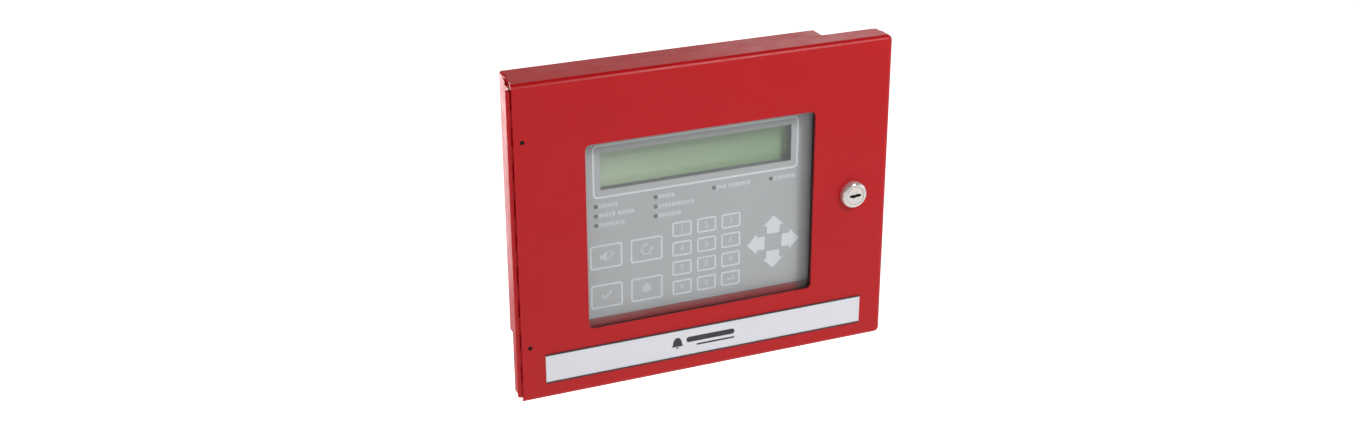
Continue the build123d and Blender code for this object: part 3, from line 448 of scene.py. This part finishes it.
# plastics, coatings and inks: two colours, roughness, and the grain's settings
PLASTICS = {
    "black_screw": ((0.003, 0.003, 0.003), (0.006, 0.006, 0.006), 0.6, {**MOULDED, "specular": 0.2}),
    "black_rubber": (
        (0.010, 0.010, 0.010), (0.022, 0.021, 0.021), 0.78,
        {"grain": 1500.0, "depth": 0.0001, "specular": 0.25}),
    "black_steel": (
        (0.185, 0.230, 0.210), (0.215, 0.265, 0.245), 0.5,
        {**MOULDED, "grain": 500.0, "specular": 0.3}),
    "black_plastic": ((0.018, 0.018, 0.019), (0.032, 0.032, 0.033), 0.5, {**MOULDED, "grain": 1200.0}),
    "white_plastic": ((0.78, 0.78, 0.75), (0.86, 0.86, 0.84), 0.45, MOULDED),
    "led_lens": ((0.125, 0.120, 0.125), (0.16, 0.15, 0.155), 0.3, {**MOULDED, "grain": 300.0}),
    "terminal_plastic": ((0.02, 0.17, 0.08), (0.03, 0.22, 0.11), 0.45, MOULDED),
    "capacitor_sleeve": ((0.02, 0.025, 0.07), (0.035, 0.04, 0.11), 0.3, {**MOULDED, "grain": 200.0}),
    "light_film": ((0.82, 0.85, 0.89), (0.86, 0.89, 0.93), 0.45, INK),
    "pale_ink": ((0.80, 0.83, 0.85), (0.85, 0.88, 0.90), 0.5, INK),
    "faint_ink": ((0.68, 0.70, 0.72), (0.72, 0.74, 0.76), 0.5, INK),
    "dark_ink": ((0.030, 0.030, 0.034), (0.045, 0.045, 0.05), 0.5, INK),
}


def plastic(name):
    """Plastic, coating or ink: a fine grain, with colour that wanders between two colours, and
    painted paler on the edges as a painted highlight."""
    colour, light, roughness, texture = PLASTICS[name]
    shade = Shade(name, specular=texture["specular"])
    normal, edge = shade.edges(PLASTIC_EDGE)
    tone = shade.mix(shade.noise(30), colour, light)
    # painted highlight: the edges are paler
    edge_highlight = [min(1.0, 1.35 * c + 0.01) for c in light]
    shade.colour(shade.mix(shade.times(edge, 0.5), tone, edge_highlight))
    shade.bump(shade.noise(texture["grain"]), texture["depth"], 0.6, normal)
    shade.uneven_roughness(shade.noise(90), roughness - ROUGHNESS_SPREAD, roughness + ROUGHNESS_SPREAD)
    return shade.material


OTHER_FINISHES = {
    "red_enamel": red_enamel,
    "zinc_steel": zinc_steel,
    "nickel": nickel,
    "grey_film": grey_film,
    "silver_label": silver_label,
    "circuit_board": circuit_board,
    "display_green": display_green,
    "ribbon_grey": ribbon_grey,
    "clear_pane": clear_pane,
}
made_finishes = {}


def finish(name):
    """The material of that name, made once."""
    if name not in made_finishes:
        made_finishes[name] = plastic(name) if name in PLASTICS else OTHER_FINISHES[name]()
    return made_finishes[name]


def paint_cad_nodes():
    """Every CAD node gets the procedural material of its slot."""
    for row in frame["record"]["subparts"]:
        mesh = frame["nodes"][row["node"]].data
        mesh.materials.clear()
        mesh.materials.append(finish(row["material_slot"]))


# ---- flat print -------------------------------------------------------------------------

PRINT_RISE = 0.05  # print stands this far out of its face, and sinks as far into it
CORNER_STEPS = 6
BAR_ROUNDING = 0.45  # a bar's corner radius, as a share of its width


def spin(points, degrees, x=0.0, y=0.0):
    """Points turned about the origin, then moved by x, y."""
    c, s = math.cos(math.radians(degrees)), math.sin(math.radians(degrees))
    return [(x + u * c - v * s, y + u * s + v * c) for u, v in points]


def scaled(shapes, factor, x=0.0, y=0.0):
    """Shapes scaled about the origin, then moved by x, y."""
    return [[(x + factor * u, y + factor * v) for u, v in shape] for shape in shapes]


def arc(radius, start, end, steps, centre=(0.0, 0.0)):
    """Points along a circle, from one angle to another."""
    angles = [math.radians(start + (end - start) * i / steps) for i in range(steps + 1)]
    return [(centre[0] + radius * math.cos(a), centre[1] + radius * math.sin(a)) for a in angles]


def rounded(width, height, radius, centre=(0.0, 0.0)):
    """The points of a rounded rectangle, counterclockwise."""
    points = []
    for side_x, side_y, start in ((1, 1, 0), (-1, 1, 90), (-1, -1, 180), (1, -1, 270)):
        corner_x = centre[0] + side_x * (width / 2 - radius)
        corner_y = centre[1] + side_y * (height / 2 - radius)
        points += arc(radius, start, start + 90, CORNER_STEPS, (corner_x, corner_y))
    return points


def ring(width, height, radius, line):
    """The outer and the inner outline of a rounded frame."""
    inner = rounded(width - 2 * line, height - 2 * line, radius - line)
    return rounded(width, height, radius), inner


def bar(x, y, length, width, degrees=0.0):
    """A rounded bar centred at x, y."""
    return spin(rounded(length, width, BAR_ROUNDING * width), degrees, x, y)


def film(name, outlines, at, body, slot, rings=(), rise=PRINT_RISE):
    """A thin solid on a face that looks along -Y. outlines are filled shapes and rings are
    (outer, inner) pairs, all in millimetres about the point at, which is in metres."""
    bm = bmesh.new()

    def layer(points, depth):
        return [bm.verts.new((x * MM, y * MM, depth * MM)) for x, y in points]

    for outline in outlines:
        low, high = layer(outline, -rise), layer(outline, rise)
        bm.faces.new(high)
        bm.faces.new(low[::-1])
        for i in range(len(outline)):
            j = (i + 1) % len(outline)
            bm.faces.new((low[i], low[j], high[j], high[i]))
    for outer, inner in rings:
        outer_low, outer_high = layer(outer, -rise), layer(outer, rise)
        inner_low, inner_high = layer(inner, -rise), layer(inner, rise)
        for i in range(len(outer)):
            j = (i + 1) % len(outer)
            bm.faces.new((outer_high[i], outer_high[j], inner_high[j], inner_high[i]))
            bm.faces.new((outer_low[j], outer_low[i], inner_low[i], inner_low[j]))
            bm.faces.new((outer_low[i], outer_low[j], outer_high[j], outer_high[i]))
            bm.faces.new((inner_low[j], inner_low[i], inner_high[i], inner_high[j]))
    bmesh.ops.recalc_face_normals(bm, faces=bm.faces)
    bmesh.ops.triangulate(bm, faces=[f for f in bm.faces if len(f.verts) > 4])
    place_piece(name, bm, at, body, slot)


def place_piece(name, bm, at, body, slot):
    """Stands a flat bmesh up, so that it faces -Y, and lets it ride on its body."""
    mesh = bpy.data.meshes.new(name)
    bm.transform(Matrix.Translation(at) @ Matrix.Rotation(math.pi / 2, 4, "X"))
    bm.to_mesh(mesh)
    bm.free()
    mesh.materials.append(finish(slot))
    piece = bpy.data.objects.new(name, mesh)
    bpy.context.scene.collection.objects.link(piece)
    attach(piece, body)


def face_centre(node):
    """The middle of a node's front face."""
    low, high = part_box(node)
    return Vector(((low.x + high.x) / 2, low.y, (low.z + high.z) / 2))


def size_mm(node):
    """A node's width and height in millimetres."""
    low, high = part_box(node)
    return (high.x - low.x) / MM, (high.z - low.z) / MM


# ---- icons, in millimetres about the middle of a key --------------------------------------


def cross_icon():
    """Two crossed strokes as one outline."""
    reach, half = 1.9, 0.38
    arm = [(half, half), (reach, half), (reach, -half)]
    return [[point for side in (45, -45, -135, -225) for point in spin(arm, side)]]


def enter_icon():
    """A return arrow."""
    head = [(-0.9, -1.0), (-0.9, -1.8), (-2.4, -0.6), (-0.9, 0.6), (-0.9, -0.2)]
    shaft = [(1.7, -0.2), (1.7, 1.5), (2.4, 1.5), (2.4, -1.0)]
    return [head + shaft]


def silence_icon():
    """A loudspeaker, a slanting stroke beside it and a short bar above and below the stroke."""
    speaker = [(-3.6, -1.2), (-2.0, -1.2), (0.4, -3.0), (0.4, 3.0), (-2.0, 1.2), (-3.6, 1.2)]
    return [speaker, bar(2.6, 0.0, 4.6, 0.8, 45), bar(2.6, 2.4, 1.6, 0.7), bar(2.6, -2.4, 1.6, 0.7)]


def reset_icon():
    """An open circle with an arrow head."""
    open_circle = arc(3.3, 60, 350, 24) + arc(2.5, 350, 60, 24)
    head = [(4.4, -0.2), (1.6, -0.2), (3.0, 1.9)]
    return [open_circle, head]


def tick_icon():
    return [[(-3.2, 0.2), (-2.4, 1.0), (-0.9, -0.6), (2.6, 2.9), (3.4, 2.1), (-0.9, -2.2)]]


def bell_icon():
    """A bell with its clapper."""
    left = [(-3.3, -1.8), (-2.5, -0.9), (-2.3, 0.9)]
    dome = arc(1.9, 165, 15, 10, (0.0, 1.2))
    right = [(2.3, 0.9), (2.5, -0.9), (3.3, -1.8)]
    clapper = arc(0.8, 180, 360, 8, (0.0, -2.2))
    return [left + dome + right, clapper]


KEY_ICONS = {
    "key_clear": cross_icon,
    "key_enter": enter_icon,
    "key_silence": silence_icon,
    "key_reset": reset_icon,
    "key_acknowledge": tick_icon,
    "key_drill": bell_icon,
}

# ---- keys ---------------------------------------------------------------------------------

BLANK_NODES = ("key_board", "key_switches", "key_up", "key_down", "key_left", "key_right")
OUTLINE_W = 1.3
LARGE_KEY = 20.0  # a key wider than this has the larger corners and icon
KEY_CORNER = {True: 2.0, False: 1.6}  # by whether the key is large
ICON_SCALE = {True: 1.3, False: 1.15}  # by whether the key is large
DIGIT_HEIGHT = 4.6
DIGIT_SHARE = 0.70  # a digit's height in the font, as a share of the font's size
DIGIT_BOLDER = 0.08
DIGIT_CURVE_STEPS = 4
SAME_PLACE = 1e-7  # metres


def digit_mesh(text):
    """A digit as a thin solid, centred on the origin."""
    curve = bpy.data.curves.new("digit", "FONT")
    curve.body = text
    curve.size = DIGIT_HEIGHT * MM / DIGIT_SHARE
    curve.align_x = "CENTER"
    curve.align_y = "CENTER"
    curve.extrude = PRINT_RISE * MM
    curve.offset = DIGIT_BOLDER * MM
    curve.resolution_u = DIGIT_CURVE_STEPS
    carrier = bpy.data.objects.new("digit", curve)
    bpy.context.scene.collection.objects.link(carrier)
    shaped = carrier.evaluated_get(bpy.context.evaluated_depsgraph_get())
    mesh = bpy.data.meshes.new_from_object(shaped)
    bm = bmesh.new()
    bm.from_mesh(mesh)
    bmesh.ops.remove_doubles(bm, verts=bm.verts, dist=SAME_PLACE)
    middle = middle_of([v.co.x for v in bm.verts], [v.co.y for v in bm.verts])
    bmesh.ops.translate(bm, verts=bm.verts, vec=(-middle[0], -middle[1], 0))
    bpy.data.objects.remove(carrier)
    bpy.data.meshes.remove(mesh)
    return bm


def middle_of(first, second):
    """The middle of two lists of coordinates, halfway between their ends."""
    return (min(first) + max(first)) / 2, (min(second) + max(second)) / 2


def print_keys():
    """Each key carries its own outline and its digit or icon."""
    for node in frame["nodes"]:
        if not node.startswith("key_") or node in BLANK_NODES:
            continue
        width, height = size_mm(node)
        large = width > LARGE_KEY
        middle = face_centre(node)
        outline = ring(width, height, KEY_CORNER[large], OUTLINE_W)
        film(node + ".outline", [], middle, node, "pale_ink", rings=[outline])
        if node in KEY_ICONS:
            icon = scaled(KEY_ICONS[node](), ICON_SCALE[large])
            film(node + ".icon", icon, middle, node, "faint_ink")
        else:
            place_piece(node + ".digit", digit_mesh(node[-1]), middle, node, "faint_ink")


# ---- overlay ------------------------------------------------------------------------------

DISPLAY_FRAME = (157.1, 39.8, 3.8)  # width, height and corner radius
DISPLAY_FRAME_LINE = 1.45
# a lamp's caption is a row of blocks in place of letters, starting this far from the lamp
CAPTION_START = 2.3
BLOCK_HEIGHT = 3.0
BLOCK_WIDTHS = (1.6, 2.1, 1.4, 1.9)
BLOCK_CORNER = 0.3
BLOCK_GAP = 0.7
WORD_GAP = 1.5
CAPTIONS = ((6,), (5, 5), (8,), (5,), (11,), (7,), (3, 7), (7,))  # blocks in each word


def caption(words):
    """The blocks of a caption, from left to right."""
    blocks, x = [], CAPTION_START
    for length in words:
        for i in range(length):
            width = BLOCK_WIDTHS[(i + length) % len(BLOCK_WIDTHS)]
            blocks.append(rounded(width, BLOCK_HEIGHT, BLOCK_CORNER, (x + width / 2, 0)))
            x += width + BLOCK_GAP
        x += WORD_GAP
    return blocks


def lamp_places():
    """The lamps' X and Z, column by column and down each column, read from their node."""
    bm = bmesh.new()
    bm.from_mesh(frame["nodes"]["status_leds"].data)
    bmesh.ops.remove_doubles(bm, verts=bm.verts, dist=SAME_PLACE)
    seen, centres = set(), []
    for start in bm.verts:
        if start in seen:
            continue
        lamp, queue = [], [start]
        seen.add(start)
        while queue:
            vert = queue.pop()
            lamp.append(vert.co)
            others = [edge.other_vert(vert) for edge in vert.link_edges]
            fresh = [other for other in others if other not in seen]
            seen.update(fresh)
            queue += fresh
        centres.append(middle_of([co.x for co in lamp], [co.z for co in lamp]))
    bm.free()
    return sorted(centres, key=lambda c: (round(c[0], 3), -c[1]))


def print_overlay():
    """The display's frame line and the lamp captions, as blocks instead of letters."""
    front = face_centre("keypad_overlay").y
    middle = face_centre("display_glass")
    middle.y = front
    frame_line = ring(*DISPLAY_FRAME, DISPLAY_FRAME_LINE)
    film("display_outline", [], middle, "enclosure", "pale_ink", rings=[frame_line])
    for number, (x, z) in enumerate(lamp_places()):
        blocks = caption(CAPTIONS[number])
        film(f"lamp_caption_{number}", blocks, (x, front, z), "enclosure", "faint_ink")


# ---- name plate and keyway ----------------------------------------------------------------

PLATE_THICKNESS = 0.3
PLATE_LINE = 1.0  # the dark beads along the plate's long edges
PLATE_LINE_INSIDE = 0.5  # how much of a bead's width is on the plate
PLATE_LINE_CORNER = 0.2
PLATE_BELL = (1.45, -24.0, 0.3)  # scale, X and Z
PLATE_BARS = ((2.0, 1.8, 38.0, 4.2), (6.0, -3.2, 30.0, 1.3))  # X, Z, length and width

KEYWAY_SHADE_SIZE = (9.2, 1.9)  # a black plate that fills the keyway: painted shade for the slot's dark depth
KEYWAY_SHADE_CORNER = 0.931
KEYWAY_SHADE_DEPTH = 0.5  # below the plug's face


def print_label():
    """Dark beads along the plate's long edges, and a plain bell with two bars in its middle."""
    width, height = size_mm("label_strip")
    middle = face_centre("label_strip")
    edge = (height + PLATE_LINE) / 2 - PLATE_LINE_INSIDE
    beads = [rounded(width, PLATE_LINE, PLATE_LINE_CORNER, (0, z)) for z in (edge, -edge)]
    film("label_lines", beads, middle, "door", "dark_ink", rise=PLATE_THICKNESS)
    film("label_bell", scaled(bell_icon(), *PLATE_BELL), middle, "door", "dark_ink")
    film("label_bars", [bar(*place) for place in PLATE_BARS], middle, "door", "dark_ink")


def shade_keyway():
    """A black plate set into the keyway: painted shade for its dark depth."""
    place = face_centre("lock_plug")
    place.y += KEYWAY_SHADE_DEPTH * MM
    film("keyway_shade_plate", [rounded(*KEYWAY_SHADE_SIZE, KEYWAY_SHADE_CORNER)], place, "lock", "black_screw")


# ---- everything ---------------------------------------------------------------------------

bpy.context.scene.view_settings.view_transform = "Standard"
add_camera()
add_studio()
add_lights()
add_floor("floor_front", -FLOOR_SIZE / 2, cad_box[0][1])
add_floor("floor_rear", cad_box[0][1], FLOOR_SIZE / 2)
paint_cad_nodes()
print_keys()
print_overlay()
print_label()
shade_keyway()
